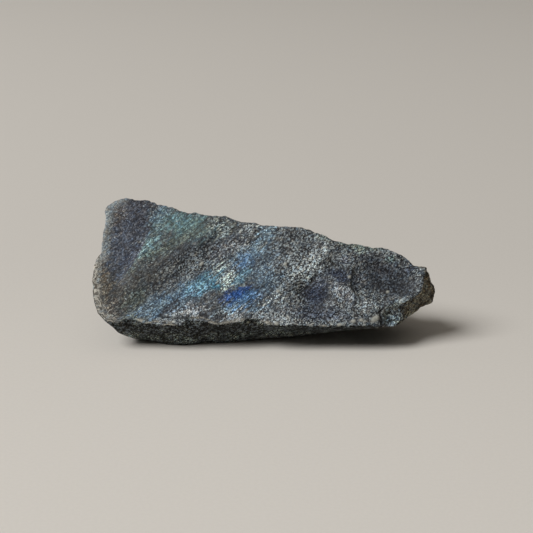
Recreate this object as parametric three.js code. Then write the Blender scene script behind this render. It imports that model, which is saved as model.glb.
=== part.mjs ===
// A semi-polished labradorite chunk: one piece of stone with a leaning, ground
// front face, a dark undercut below it and rough broken sides everywhere else.
//
// Millimetres, +Z up, +X along the stone, and +Y from the ground face to the back.
// The stone is drawn with its front line of contact at y = 0 and is moved at the end,
// so that the origin is the middle of the underside of its box.

import * as THREE from "three";
import { ImprovedNoise } from "three/addons/math/ImprovedNoise.js";
import { mergeVertices } from "three/addons/utils/BufferGeometryUtils.js";

// ---- Driving dimensions ------------------------------------------------------

const FACE_LEAN = THREE.MathUtils.degToRad(39); // the ground face, back from upright
const FACE_FOOT = [-4, 8.5]; // y and z of the foot of the ground face
const FACE_EDGE = 1.8; // how far behind the ground face its finish fades out
const STATIONS = 62; // cross-sections from the left end to the right
const CAP_RINGS = 7; // rings that close each end
const CAP_SWELL = [-3, 2.5]; // how far the left and right ends swell along x
const POINT_PITCH = 1.9; // the spacing of points round a cross-section
const ROUGHNESS = { ground: 0.25, broken: 0.6, size: 9 }; // heights and largest lump
const LEDGE_SHARE = 0.6; // how sharply the broken sides step along the cleavages
const LEDGES_FROM = { y: 3, full: 11 }; // the undercut at the front has none

// ---- The ground face ---------------------------------------------------------

const smooth = (t) => THREE.MathUtils.smoothstep(t, 0, 1);
const solidPoint = ([x, y, z]) => new THREE.Vector3(x, y, z);

const slope = new THREE.Vector3(0, Math.sin(FACE_LEAN), Math.cos(FACE_LEAN));
const outward = new THREE.Vector3(0, -Math.cos(FACE_LEAN), Math.sin(FACE_LEAN));
const foot = solidPoint([0, ...FACE_FOOT]);

// A point of the face's plane, from x and the distance s up the slope from its foot.
const onFace = ([x, s]) => foot.clone().addScaledVector(slope, s).setX(x);

// The distance up the slope at a point, and the distance out of the face's plane.
const upSlope = (p) => slope.dot(p.clone().sub(foot));
const outOfFace = (p) => outward.dot(p.clone().sub(foot));

// ---- Rails: the long edges of the stone, from its left end to its right --------

// The three rails of the ground face are given as x and the distance up the slope.
const lip = [
  [-45.4, 2.6], [-43, 0.2], [-39, 0.3], [-33, -0.3], [-24, -1], [-18.5, -0.6],
  [-10, -0.4], [-4, 0.2], [2, -0.6], [8, -1], [15, -1.2], [22, -1.1], [29, -0.8],
  [33, 0.6], [36, 4.2], [40, 6], [44.4, 8.4], [46.9, 12],
].map(onFace);

const middle = [
  [-48.6, 13], [-47, 14], [-30, 17], [-10, 15], [10, 14], [25, 13], [36, 13.5],
  [44, 14], [47.6, 14.4],
].map(onFace);

const crest = [
  [-46.7, 31.5], [-46.2, 35.6], [-43.4, 37.8], [-40.9, 38.7], [-37.7, 38], [-34, 37.8],
  [-30.7, 36.8], [-27.2, 36.1], [-23.7, 34.6], [-18.4, 33.4], [-9.8, 32.6],
  [-6.1, 30.7], [-2.6, 31], [1, 29.9], [7.9, 29.8], [12, 29], [15, 27.8],
  [18.4, 27], [20.5, 25.5], [25, 24.1], [29, 24.2], [36, 22.5], [40.5, 21],
  [44.7, 17.5], [47.9, 16.8],
].map(onFace);

// The others run outside that plane: x, y and z.
const heel = [
  [-41.7, -1.3, 6.2], [-39.6, -0.3, 3.6], [-36.6, 0.5, 1.9], [-32, 1, 0.8], [-26, 0, 0],
  [-21.5, 0, -0.6], [-17, 0.8, -0.4], [-8, 2, 0.2], [2, 3.4, 0.5], [8, 4, 1],
  [14, 4, 1.8], [20, 1.5, 3.6], [26, -1.8, 5.8], [33, -4, 7], [38, -3.6, 7.2],
  [41.5, 0.5, 8], [45.5, 4.4, 9], [50.7, 7.6, 10.1],
].map(solidPoint);

const keel = [
  [-39, 21, 3], [-35, 24, -0.6], [-24, 26, -0.8], [-12, 27, -0.8], [0, 25, -0.9],
  [12, 23, -0.2], [22, 21, 2.4], [32, 19, 5], [41, 16, 7.4], [46.5, 14, 9.6],
].map(solidPoint);

const belly = [
  [-44.5, 24, 15], [-38, 30, 17], [-26, 32, 13], [-14, 30, 17], [-2, 31, 13],
  [10, 28, 15.5], [22, 26, 12], [33, 22, 14], [42, 18.5, 12.5], [47.4, 15, 13.4],
].map(solidPoint);

const shoulder = [
  [-44.4, 22, 32.5], [-40, 25.5, 34.5], [-30, 28, 32], [-20, 25.5, 29.5], [-9, 25, 27.6],
  [2, 21.5, 27.4], [12, 22, 25], [22, 18.5, 23.2], [32, 17.5, 21], [41, 14.5, 19],
  [46.6, 11.5, 18.6],
].map(solidPoint);

const rails = [heel, lip, middle, crest, shoulder, belly, keel].map(
  (points) => new THREE.CatmullRomCurve3(points, false, "catmullrom", 0.25),
);

// ---- Relief of the ground face: hollows, ridges and steps -----------------------

// Where (x, s) lies by a drawn line: its distance, with a sign that is negative on the
// right of the line as it is drawn, and how far along the line it is, from 0 to 1.
function nearLine(x, s, line) {
  const found = { distance: Infinity, along: 0 };
  for (let i = 1; i < line.length; i++) {
    const [ax, as] = line[i - 1];
    const [dx, ds] = [line[i][0] - ax, line[i][1] - as];
    const t = ((x - ax) * dx + (s - as) * ds) / (dx * dx + ds * ds);
    const share = THREE.MathUtils.clamp(t, 0, 1);
    const [ox, os] = [x - ax - share * dx, s - as - share * ds];
    const distance = Math.hypot(ox, os);
    if (distance < Math.abs(found.distance)) {
      found.distance = distance * Math.sign(dx * os - ds * ox || 1);
      found.along = (i - 1 + share) / (line.length - 1);
    }
  }
  return found;
}

// Shallow bowls left by flakes: middle, half sizes along x and s, and depth.
const flakeScars = [
  { at: [36.5, 13.5], size: [12.5, 8.5], depth: 1.7 },
  { at: [16.5, 9.5], size: [7, 7.5], depth: 1.1 },
  { at: [-43, 21], size: [9, 12], depth: 0.8 },
  { at: [-1, 22], size: [13, 7], depth: 0.6 },
  { at: [-26, 7], size: [13, 6], depth: 0.5 },
];

// Worn ridges: the line, height and half width.
const ridges = [
  {
    line: [[19, 24], [17, 18], [20, 11.5], [25.5, 7.5], [31, 4]],
    height: 1,
    width: 4.5,
  },
  { line: [[-15, 27], [-21, 22], [-30, 15], [-38, 9]], height: 0.5, width: 5 },
];

// Low steps where a sheet of stone has come away on the right of a line: the drop, and
// how far from the line the surface takes to come level again.
const steps = [
  { line: [[-18, 21], [-12.5, 25], [-9, 28], [-5.5, 31.5]], drop: 0.6, reach: 9 },
  { line: [[-42, 13], [-39.5, 16], [-37.4, 19], [-36, 23]], drop: -0.6, reach: 8 },
];
const STEP_WIDTH = 3.6; // a step's rise is spread over this, about two points' pitch

// The relief at x and s, out along the face's normal.
function faceRelief(x, s) {
  let height = 0;
  for (const { at, size, depth } of flakeScars) {
    const share = Math.hypot((x - at[0]) / size[0], (s - at[1]) / size[1]);
    height -= depth * smooth(1 - share * share);
  }
  for (const ridge of ridges) {
    const { distance } = nearLine(x, s, ridge.line);
    height += ridge.height * smooth(1 - Math.abs(distance) / ridge.width);
  }
  for (const { line, drop, reach } of steps) {
    const { distance, along } = nearLine(x, s, line);
    const inside = smooth(0.5 - distance / STEP_WIDTH);
    const ends = smooth(6 * Math.min(along, 1 - along));
    height -= drop * inside * ends * smooth(1 - Math.abs(distance) / reach);
  }
  return height;
}

// ---- The broken sides: flat breaks, cleavage ledges and roughness ------------------

// A direction from its turn round from +X and its rise above the level, in degrees.
function facing(turn, rise) {
  const [a, e] = [turn, rise].map(THREE.MathUtils.degToRad);
  return new THREE.Vector3(
    Math.cos(a) * Math.cos(e),
    Math.sin(a) * Math.cos(e),
    Math.sin(e),
  );
}

// Flat breaks: the way each one faces, a point on it and how far round that it cuts.
const breaks = [
  { turn: 78, rise: 6, at: [-28, 29.6, 15], reach: 16 },
  { turn: 108, rise: -14, at: [-35, 27.5, 9], reach: 15 },
  { turn: 96, rise: 40, at: [-24, 27, 28], reach: 14 },
  { turn: 66, rise: 26, at: [4, 26, 20], reach: 15 },
  { turn: 88, rise: -34, at: [0, 26.5, 5], reach: 18 },
  { turn: 112, rise: 34, at: [19, 21.5, 19], reach: 12 },
  { turn: 70, rise: -10, at: [31, 21.5, 12], reach: 15 },
  { turn: 36, rise: 20, at: [45, 14, 17], reach: 10 },
  { turn: 30, rise: -30, at: [46.5, 10.5, 10], reach: 9 },
  { turn: -12, rise: 10, at: [48.9, 5, 16], reach: 9 },
  { turn: 168, rise: 2, at: [-46.6, 17, 26], reach: 13 },
  { turn: 196, rise: -8, at: [-48.2, 3, 12], reach: 12 },
  { turn: 148, rise: -22, at: [-43, 21, 9], reach: 14 },
].map(({ turn, rise, at, reach }) => ({
  normal: facing(turn, rise),
  at: solidPoint(at),
  reach,
}));

function cutBreaks(p) {
  for (const { normal, at, reach } of breaks) {
    const from = p.clone().sub(at);
    const over = Math.max(0, normal.dot(from));
    p.addScaledVector(normal, -over * smooth(3 * (1 - from.length() / reach)));
  }
}

// Perlin noise of about -1 to 1, whose largest lumps are `size` across.
const noise = new ImprovedNoise();
function lumps(p, size, octaves) {
  let sum = 0;
  for (let i = 0; i < octaves; i++) {
    const f = 2 ** i / size;
    sum += noise.noise(p.x * f + 7.3, p.y * f + 1.9, p.z * f + 4.1) / 2 ** i;
  }
  return sum;
}

// Feldspar breaks in ledges along two cleavages that are nearly square to each other:
// the way each one faces and the rise of its ledges.
const cleavages = [
  { normal: facing(58, 24), rise: 6.4 },
  { normal: facing(118, -40), rise: 3.6 },
];

function cutLedges(p, share) {
  for (const { normal, rise } of cleavages) {
    const level = normal.dot(p) / rise + 0.7 * lumps(p, 21, 2);
    const inStep = level - Math.floor(level);
    const stepped = smooth(2.4 * (inStep - 0.5) + 0.5);
    p.addScaledVector(normal, share * LEDGE_SHARE * rise * (stepped - inStep));
  }
}

// From 1 on the ground face to 0 on the sides that only broke.
const groundShare = (p) => smooth(1 + (outOfFace(p) + 0.4) / FACE_EDGE);

// ---- The surface ---------------------------------------------------------------

// How many points each side of a cross-section takes, from a wide one.
const sideCounts = rails.map((rail, i) => {
  const next = rails[(i + 1) % rails.length];
  const width = rail.getPointAt(0.25).distanceTo(next.getPointAt(0.25));
  return Math.max(2, Math.round(width / POINT_PITCH));
});

// The ring of points round the stone at a share t of the way along the rails.
function crossSection(t) {
  const corners = rails.map((rail) => rail.getPointAt(t));
  return corners.flatMap((corner, i) => {
    const next = corners[(i + 1) % corners.length];
    return Array.from({ length: sideCounts[i] }, (_, k) =>
      corner.clone().lerp(next, k / sideCounts[i]),
    );
  });
}

// Rings that shrink from an end's cross-section to its middle, swelling along x.
function capRings(ring, swell) {
  const sum = ring.reduce((total, p) => total.add(p), new THREE.Vector3());
  const centre = sum.divideScalar(ring.length);
  return Array.from({ length: CAP_RINGS }, (_, k) => {
    const t = (k + 1) / CAP_RINGS;
    const bulge = new THREE.Vector3(swell * Math.sin((t * Math.PI) / 2), 0, 0);
    return ring.map((p) => p.clone().lerp(centre, t).add(bulge));
  });
}

// The closed skin through a list of rings with equal numbers of points. Each four-sided
// cell is split across its shorter diagonal.
function skin(rings) {
  const around = rings[0].length;
  const index = [];
  const points = rings.flat();
  for (let i = 0; i + 1 < rings.length; i++) {
    for (let j = 0; j < around; j++) {
      const [a, b] = [i * around + j, i * around + ((j + 1) % around)];
      const [c, d] = [a + around, b + around];
      const acrossBC = points[b].distanceTo(points[c]) < points[a].distanceTo(points[d]);
      index.push(...(acrossBC ? [a, c, b, b, c, d] : [a, c, d, a, d, b]));
    }
  }
  const geometry = new THREE.BufferGeometry().setFromPoints(points);
  geometry.setIndex(index);
  return mergeVertices(geometry, 1e-3);
}

// Roughens and carves each point of the plain loft, and wears flat what would reach
// below z = 0, so that the stone stands on a level patch of its underside.
function carve(geometry) {
  geometry.computeVertexNormals();
  const { position, normal } = geometry.attributes;
  for (let i = 0; i < position.count; i++) {
    const p = new THREE.Vector3().fromBufferAttribute(position, i);
    const n = new THREE.Vector3().fromBufferAttribute(normal, i);
    const share = groundShare(p);
    const relief = share * faceRelief(p.x, upSlope(p));
    const height = THREE.MathUtils.lerp(ROUGHNESS.broken, ROUGHNESS.ground, share);
    p.addScaledVector(n, height * lumps(p, ROUGHNESS.size, 3));
    cutBreaks(p);
    const behind = (p.y - LEDGES_FROM.y) / (LEDGES_FROM.full - LEDGES_FROM.y);
    cutLedges(p, (1 - share) * smooth(behind));
    p.addScaledVector(outward, relief);
    position.setXYZ(i, p.x, p.y, Math.max(p.z, 0));
  }
}

function stoneGeometry() {
  const loft = Array.from({ length: STATIONS + 1 }, (_, i) =>
    crossSection(i / STATIONS),
  );
  const rings = [
    ...capRings(loft[0], CAP_SWELL[0]).reverse(),
    ...loft,
    ...capRings(loft[STATIONS], CAP_SWELL[1]),
  ];
  const geometry = skin(rings);
  carve(geometry);
  geometry.computeBoundingBox();
  const middleOfBox = geometry.boundingBox.getCenter(new THREE.Vector3());
  geometry.translate(-middleOfBox.x, -middleOfBox.y, 0);
  geometry.computeVertexNormals();
  return geometry;
}

// ---- The model -------------------------------------------------------------------

const labradorite = new THREE.MeshStandardMaterial({
  color: 0x4c5357,
  roughness: 0.62,
  metalness: 0,
});

const stone = new THREE.Mesh(stoneGeometry(), labradorite);
stone.name = "stone";

const chunk = new THREE.Group();
chunk.add(stone);

export default chunk;
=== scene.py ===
"""A semi-polished labradorite chunk: its looks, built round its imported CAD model.

Blender works in metres, +Z up, +X along the stone and +Y from its ground face to its back.
The stone's shape is worked out here in millimetres, in the same frame.

The stone is one piece. Its fine surface is a copy of the CAD solid, remeshed, with grain,
chips, ledges, cracks, steps and a few raised grains worked into it. Its colours are one
material of procedural nodes, which speckles the whole stone, over soft patches of colour
on the ground face.
"""

import itertools
import math

import bpy
import numpy as np
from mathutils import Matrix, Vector


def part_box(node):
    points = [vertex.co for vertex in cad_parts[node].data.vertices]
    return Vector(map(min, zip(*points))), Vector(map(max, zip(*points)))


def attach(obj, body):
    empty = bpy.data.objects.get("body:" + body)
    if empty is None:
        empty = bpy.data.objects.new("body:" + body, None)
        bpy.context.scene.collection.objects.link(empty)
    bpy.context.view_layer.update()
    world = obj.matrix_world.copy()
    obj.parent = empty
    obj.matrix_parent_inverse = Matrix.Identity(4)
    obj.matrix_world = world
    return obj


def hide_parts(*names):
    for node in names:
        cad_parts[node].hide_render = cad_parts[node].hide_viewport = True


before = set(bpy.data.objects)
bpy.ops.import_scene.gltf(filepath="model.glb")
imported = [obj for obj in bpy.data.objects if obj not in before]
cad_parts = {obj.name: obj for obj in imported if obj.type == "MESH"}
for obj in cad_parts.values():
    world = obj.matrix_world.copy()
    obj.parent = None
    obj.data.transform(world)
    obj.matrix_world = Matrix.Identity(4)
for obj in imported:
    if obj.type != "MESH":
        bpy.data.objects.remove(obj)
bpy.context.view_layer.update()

MM = 0.001

# ---- The ground face ----

# The line where the stone's front meets the floor
FRONT_CONTACT_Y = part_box("stone")[0][1] / MM + 4.77
FACE_LEAN = math.radians(39)  # back from upright
FACE_FOOT = np.array([0.0, FRONT_CONTACT_Y - 4.0, 8.5])
SLOPE = np.array([0.0, math.sin(FACE_LEAN), math.cos(FACE_LEAN)])
OUTWARD = np.array([0.0, -math.cos(FACE_LEAN), math.sin(FACE_LEAN)])


def face_coordinates(points):
    """x along the face, s up its slope from the foot, and the distance out of its plane."""
    from_foot = points - FACE_FOOT
    return points[:, 0], from_foot @ SLOPE, from_foot @ OUTWARD


# ---- The camera ----

CAMERA_RISE = math.radians(20)
CAMERA_DISTANCE = 368.0
CAMERA_LENS = 85.0
CAMERA_SENSOR = 36.0
AIM = np.array([1.02, FRONT_CONTACT_Y + 10.0, 20.6])
CAMERA_BACK = np.array([0.0, -math.cos(CAMERA_RISE), math.sin(CAMERA_RISE)])
CAMERA_PLACE = AIM + CAMERA_DISTANCE * CAMERA_BACK


def make_camera():
    camera = bpy.data.cameras.new("camera")
    camera.lens = CAMERA_LENS
    camera.sensor_width = CAMERA_SENSOR
    camera.clip_start = 0.01
    placed = bpy.data.objects.new("camera", camera)
    placed.location = CAMERA_PLACE * MM
    placed.rotation_euler = Vector(-CAMERA_BACK).to_track_quat("-Z", "Y").to_euler()
    bpy.context.scene.collection.objects.link(placed)
    bpy.context.scene.camera = placed


def seen_on_face(points):
    """Where the sight lines from the camera to the points meet the face's plane."""
    sight = points - CAMERA_PLACE
    share = (FACE_FOOT - CAMERA_PLACE) @ OUTWARD / (sight @ OUTWARD)
    x, s, _ = face_coordinates(CAMERA_PLACE + share[:, None] * sight)
    return x, s


# ---- Numbers over the surface ----

LATTICE_SIZE = 256


def smoothstep(low, high, value):
    t = np.clip((value - low) / (high - low), 0, 1)
    return t * t * (3 - 2 * t)


def mixed(a, b, share):
    return a + (b - a) * share


def lattice_numbers(cells, seed):
    """A whole number below LATTICE_SIZE for each cell of a lattice, as if at random."""
    table = np.random.default_rng(seed).permutation(LATTICE_SIZE)
    number = np.zeros(len(cells), int)
    for axis in range(3):
        number = table[(number + cells[:, axis]) % LATTICE_SIZE]
    return number


def perlin(points, seed):
    """Perlin noise of about -1 to 1."""
    directions = np.random.default_rng(seed).normal(size=(LATTICE_SIZE, 3))
    directions /= np.linalg.norm(directions, axis=1, keepdims=True)
    cells = np.floor(points).astype(int)
    inside = points - cells
    fade = inside**3 * (inside * (inside * 6 - 15) + 10)
    total = np.zeros(len(points))
    for corner in itertools.product((0, 1), repeat=3):
        weight = np.prod(np.where(corner, fade, 1 - fade), axis=1)
        slopes = directions[lattice_numbers(cells + corner, seed)]
        total += weight * np.sum(slopes * (inside - corner), axis=1)
    return total * 1.7


def lumps(points, size, octaves, seed):
    """Perlin noise of several sizes, the largest of them `size` across."""
    total = np.zeros(len(points))
    for i in range(octaves):
        total += perlin(points * 2**i / size, seed + i) / 2**i
    return total


def scattered(points, spacing, seed):
    """The distance to the nearest of points scattered one to a cell, as a share of the
    spacing, and that point's own random number."""
    scaled = points / spacing
    cells = np.floor(scaled).astype(int)
    rng = np.random.default_rng(seed)
    offsets = rng.random((LATTICE_SIZE, 3))
    numbers = rng.random(LATTICE_SIZE)
    nearest = np.full(len(points), np.inf)
    found = np.zeros(len(points))
    for step in itertools.product((-1, 0, 1), repeat=3):
        around = cells + step
        index = lattice_numbers(around, seed)
        distance = np.linalg.norm(around + offsets[index] - scaled, axis=1)
        closer = distance < nearest
        nearest[closer] = distance[closer]
        found[closer] = numbers[index][closer]
    return nearest, found


def turned(x, s, turn):
    """A place on the face measured along and across a direction, itself turned from X."""
    along = x * math.cos(turn) + s * math.sin(turn)
    across = s * math.cos(turn) - x * math.sin(turn)
    return along, across


def beside(x, s, line):
    """The signed distance from a line drawn on the face, negative on the right of it, and
    how far along the line that is, from 0 to 1."""
    distance = np.full(len(x), np.inf)
    along = np.zeros(len(x))
    for i, (start, end) in enumerate(zip(line, line[1:])):
        dx, ds = end[0] - start[0], end[1] - start[1]
        t = np.clip(((x - start[0]) * dx + (s - start[1]) * ds) / (dx * dx + ds * ds), 0, 1)
        ox, os = x - start[0] - t * dx, s - start[1] - t * ds
        here = np.hypot(ox, os)
        closer = here < np.abs(distance)
        side = np.where(dx * os - ds * ox < 0, -1, 1)
        distance = np.where(closer, here * side, distance)
        along = np.where(closer, (i + t) / (len(line) - 1), along)
    return distance, along


# ---- The stone's fine shape ----

VOXEL = 0.4  # mm, the spacing of the fine surface's points
CLEAVAGES = [  # the way each cleavage faces, turned and raised in degrees, and its ledges
    {"turn": 58, "rise": 24, "ledge": 2.1},
    {"turn": 118, "rise": -40, "ledge": 1.3},
]
LEDGE_SHARE = 0.45  # how sharply the broken sides step along the cleavages

# Outlines as the camera sees them against the face's plane: (x, s) in mm
LEFT_OUTLINE = [
    (-38.7, -4.4), (-40.1, -3.6), (-42.0, -2.1), (-44.2, -0.3), (-45.9, 1.4), (-47.3, 3.2),
    (-48.2, 5.5), (-48.9, 8.3), (-49.2, 12.8), (-49.0, 16.9), (-48.5, 19.1), (-47.1, 21.0),
    (-47.0, 23.6), (-46.7, 27.6), (-46.1, 31.0), (-46.4, 34.1), (-46.3, 35.1), (-45.0, 36.6),
    (-42.9, 38.0), (-41.1, 38.8),
]
RIGHT_OUTLINE = [
    (38.4, -1.0), (40.1, 0.6), (43.1, 2.6), (45.1, 4.1), (46.6, 5.3), (48.5, 6.2), (49.2, 7.7),
    (49.4, 10.1), (48.6, 12.2), (47.7, 14.6), (46.8, 16.4), (44.2, 17.7), (40.8, 20.8),
]
LIP = [  # the lower edge of the ground face
    (-43.5, -1.0), (-41.5, -0.5), (-39.5, 0.6), (-34.6, 0.2), (-29.8, -0.4), (-22.6, -0.7),
    (-22.4, 0.8), (-17.0, 0.8), (-12.9, -1.0), (-8.7, 0.2), (-2.4, 0.8), (4.2, -1.0),
    (8.4, -0.4), (20.7, -1.9), (27.0, -3.0),
]
OUTLINE_STEP = 0.5  # mm, the height of the rows in which an end's reach is measured
OUTLINE_SMOOTHING = 8
END_REACH = 10.0  # mm, how far in from an end its points are moved

# Steps on the ground face, each a drawn line that the surface drops away from on its
# right: x and s in mm, the drop and how wide it is.
BASIN_EDGE = [(17.3, 18.5), (16.1, 16.5), (15.2, 14.0), (13.4, 11.6), (11.7, 10.1), (9.0, 8.0)]
SCOOP_EDGE = [(26.9, 18.0), (26.0, 15.0), (25.4, 12.0), (25.6, 10.2), (26.8, 8.2), (29.0, 6.2)]
CREASE = [(-32.9, 28.9), (-35.5, 22.0), (-38.1, 17.4), (-40.8, 13.4), (-43.3, 10.4)]
RIDGE_EDGE = [(19.3, 19.5), (20.4, 18.3), (21.3, 16.5)]
STEPS = [
    (CREASE, 0.4, 1.6),
    ([(-7.5, 30.7), (-11.3, 27.6), (-14.7, 24.2), (-18.2, 21.1)], 0.35, 0.6),
    (BASIN_EDGE, 0.6, 0.6),
    (SCOOP_EDGE, -0.5, 0.6),
    (RIDGE_EDGE, 0.3, 0.5),
]
STEP_REACH = 4.0  # mm, how far from its line a step's drop comes level again

# The cracks are cut into the surface, and their colour is darkened with painted shade
CRACKS = [  # fine dark cracks: x and s, and how strong
    (BASIN_EDGE, 1.3),
    (SCOOP_EDGE, 0.8),
    (RIDGE_EDGE, 1.2),
    ([(-16.7, 22.4), (-12.1, 26.8), (-8.3, 29.0)], 0.5),
    ([(33.6, -1.5), (34.0, 1.0), (33.2, 3.2), (34.6, 4.6)], 1.6),
    ([(-30.5, 2.2), (-26.0, 1.6), (-21.5, 1.5)], 0.9),
]
CRACK_WIDTH = 0.5
CRACK_DEPTH = 0.3
CRACK_FRONT = (-12.0, -13.0)  # cracks are cut only where y - 0.8 z is below these

# Large pale grains that stand out of the face: middle (x, s), half sizes and turn
PEBBLES = [
    ("chunk", (32.0, 1.2), (1.3, 0.7), 35),
    ("lip middle right", (3.9, -0.2), (0.6, 0.5), 0),
    ("lip middle left", (1.3, 0.1), (0.5, 0.4), 0),
    ("lip right low", (21.9, -0.6), (0.7, 0.5), 10),
    ("lip right high", (25.8, 0.6), (0.6, 0.5), 0),
    ("lip right far", (28.1, 0.8), (0.6, 0.4), 0),
    ("dark band", (-17.8, 17.9), (0.7, 0.4), 50),
    ("middle", (4.4, 9.6), (0.5, 0.4), 0),
    ("band", (6.4, 17.8), (0.6, 0.4), 50),
    ("scoop edge", (24.9, 13.8), (0.4, 0.5), 0),
    ("scoop", (36.0, 9.8), (0.4, 0.4), 0),
]
PEBBLE_HEIGHT = 0.25

# Small flat breaks: a point on each in mm, the turn and rise of the way it faces, and how
# far round it cuts
FLATS = [
    ("lip notch left", (-37.5, -16.9, 9.6), 262, -42, 2.4),
    ("lip notch middle", (-20.5, -16.4, 9.9), 268, -50, 3.6),
    ("lip notch blue", (-3.0, -16.5, 9.6), 264, -48, 3.0),
    ("end side", (47.6, -7.6, 15.2), -38, 4, 6),
    ("end under", (44.0, -10.3, 11.2), -55, -25, 6),
    ("chunk side", (38.8, -14.2, 9.4), -38, 10, 4),
    ("chunk front", (35.6, -16.1, 9.6), -64, -4, 3),
]
FLAT_ROUGHNESS = 0.25

# Where a change begins and is full, in mm
UNDERCUT_Y = (-8.5, -13.0)
UNDERCUT_END_X = (42, 35)  # its colour ends before the right end
POLISHED_X = (14, -10)  # the face is ground smoother from right to left


def facing(turn, rise):
    """A direction from its turn round from +X and its rise above the level, in degrees."""
    a, e = math.radians(turn), math.radians(rise)
    return np.array([math.cos(a) * math.cos(e), math.sin(a) * math.cos(e), math.sin(e)])


def remeshed(source, name):
    """A copy of an object's mesh, remade of small even faces."""
    piece = bpy.data.objects.new(name, source.data.copy())
    bpy.context.scene.collection.objects.link(piece)
    piece.data.materials.clear()
    remesh = piece.modifiers.new("Remesh", "REMESH")
    remesh.mode = "VOXEL"
    remesh.voxel_size = VOXEL * MM
    evaluated = piece.evaluated_get(bpy.context.evaluated_depsgraph_get())
    fine = bpy.data.meshes.new_from_object(evaluated)
    piece.modifiers.clear()
    piece.data = fine
    return piece


class Surface:
    """A mesh's points and normals in mm, as arrays that can be pushed about."""

    def __init__(self, mesh):
        self.mesh = mesh
        self.points = self.read(mesh.vertices, "co") / MM
        ends = np.empty(len(mesh.edges) * 2, int)
        mesh.edges.foreach_get("vertices", ends)
        self.ends = ends.reshape(-1, 2)
        self.count = np.bincount(ends, minlength=len(self.points))[:, None]

    @staticmethod
    def read(items, name):
        values = np.empty(len(items) * 3)
        items.foreach_get(name, values)
        return values.reshape(-1, 3)

    def write(self):
        self.mesh.vertices.foreach_set("co", (self.points * MM).ravel())
        self.mesh.update()

    def normals(self):
        self.write()
        return self.read(self.mesh.vertex_normals, "vector")

    def average(self, values):
        """Each point's mean of its neighbours' values."""
        total = np.zeros_like(values)
        a, b = self.ends.T
        for column in range(values.shape[1]):
            total[:, column] = np.bincount(a, values[b, column], len(values))
            total[:, column] += np.bincount(b, values[a, column], len(values))
        return total / self.count

    def smoothed(self, values, times):
        for _ in range(times):
            values = mixed(values, self.average(values), 0.6)
        return values

    def softened(self, times):
        """The points with small corners rounded off, but no smaller as a whole."""
        points = self.points
        for _ in range(times):
            for share in (0.6, -0.63):
                points = mixed(points, self.average(points), share)
        return points

    def bulge(self, times):
        """How far each point stands out of its smoothed surroundings, in mm."""
        level = self.smoothed(self.points, times)
        return np.sum((self.points - level) * self.normals(), axis=1)

    def store(self, name, values):
        attribute = self.mesh.attributes.new(name, "FLOAT", "POINT")
        attribute.data.foreach_set("value", values.astype(np.float32))

    def store_colours(self, name, colours):
        attribute = self.mesh.attributes.new(name, "FLOAT_COLOR", "POINT")
        attribute.data.foreach_set("color", colours.astype(np.float32).ravel())


def above_lip(points):
    """Each point's x, and how far it is seen above the lip."""
    x, s = seen_on_face(points)
    return x, s - np.interp(x, *np.array(LIP).T)


def ground_share(surface):
    """From 1 on the ground face to 0 on the sides that only broke."""
    normals = surface.smoothed(surface.normals(), 4)
    _, s, out = face_coordinates(surface.points)
    bites = 0.12 * lumps(surface.points, 2.2, 3, seed=71)
    over_crest = 0.35 * smoothstep(14, 22, s)
    level = smoothstep(0.66, 0.8, normals @ OUTWARD + over_crest + bites)
    near = smoothstep(-4.5, -3.2, out)
    _, above = above_lip(surface.points)
    return level * near * smoothstep(-0.4, 0.4, above + 3 * bites)


def lip_crust(points):
    """From 0 to 1 where the lower lip has flaked to a pale crust, in separate strips."""
    x, above = above_lip(points)
    strips = smoothstep(0.0, 0.25, lumps(points / (3.0, 1.0, 1.0), 1.6, 2, seed=131))
    reach = mixed(0.5, 1.0, smoothstep(-12, -17, x)) * smoothstep(-42, -39, x)
    return reach * strips * smoothstep(1.3, 0.6, above) * smoothstep(-0.7, -0.2, above)


def cut_flats(points):
    """Trims the points to the small flat breaks."""
    rough = FLAT_ROUGHNESS * lumps(points, 2.0, 2, seed=61)
    for _, middle, turn, rise, reach in FLATS:
        normal = facing(turn, rise)
        offset = points - np.array(middle)
        over = np.maximum(offset @ normal + rough, 0)
        near = smoothstep(1.0, 0.6, np.linalg.norm(offset, axis=1) / reach)
        points = points - (over * near)[:, None] * normal
    return points


def fit_end(points, outline, side):
    """Moves an end's points along X until the stone's outline there is the drawn one. The
    side is 1 for the right end and -1 for the left."""
    x, s = seen_on_face(points)
    drawn_x, drawn_s = np.array(outline).T
    heights = np.arange(drawn_s[0], drawn_s[-1], OUTLINE_STEP)
    row = np.round((s - heights[0]) / OUTLINE_STEP).astype(int)
    inside = (row >= 0) & (row < len(heights))
    reach = np.zeros(len(heights))
    np.maximum.at(reach, row[inside], side * x[inside])
    for _ in range(OUTLINE_SMOOTHING):
        reach = np.convolve(np.pad(reach, 1, "edge"), (0.25, 0.5, 0.25), "valid")
    move = side * np.interp(heights, drawn_s, drawn_x) - reach
    from_end = np.interp(s, heights, reach) - side * x
    near = smoothstep(END_REACH, 0, from_end)
    return points + np.outer(side * near * np.interp(s, heights, move), (1, 0, 0))


def cut_ledges(points, share):
    """Steps the points along the cleavages, by a share from 0 to 1."""
    for cleavage in CLEAVAGES:
        normal = facing(cleavage["turn"], cleavage["rise"])
        level = points @ normal / cleavage["ledge"] + 0.8 * lumps(points, 11, 2, seed=11)
        in_step = level - np.floor(level)
        stepped = smoothstep(0.25, 0.75, in_step)
        move = share * cleavage["ledge"] * (stepped - in_step)
        points = points + move[:, None] * normal
    return points


def face_steps(x, s):
    """How far the drawn steps lower the ground face."""
    drop = np.zeros(len(x))
    for line, height, width in STEPS:
        distance, along = beside(x, s, line)
        inside = smoothstep(width / 2, -width / 2, distance)
        fades = smoothstep(0, 0.2, along) * smoothstep(1, 0.8, along)
        drop += height * inside * fades * smoothstep(STEP_REACH, 0, np.abs(distance))
    return drop


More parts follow.
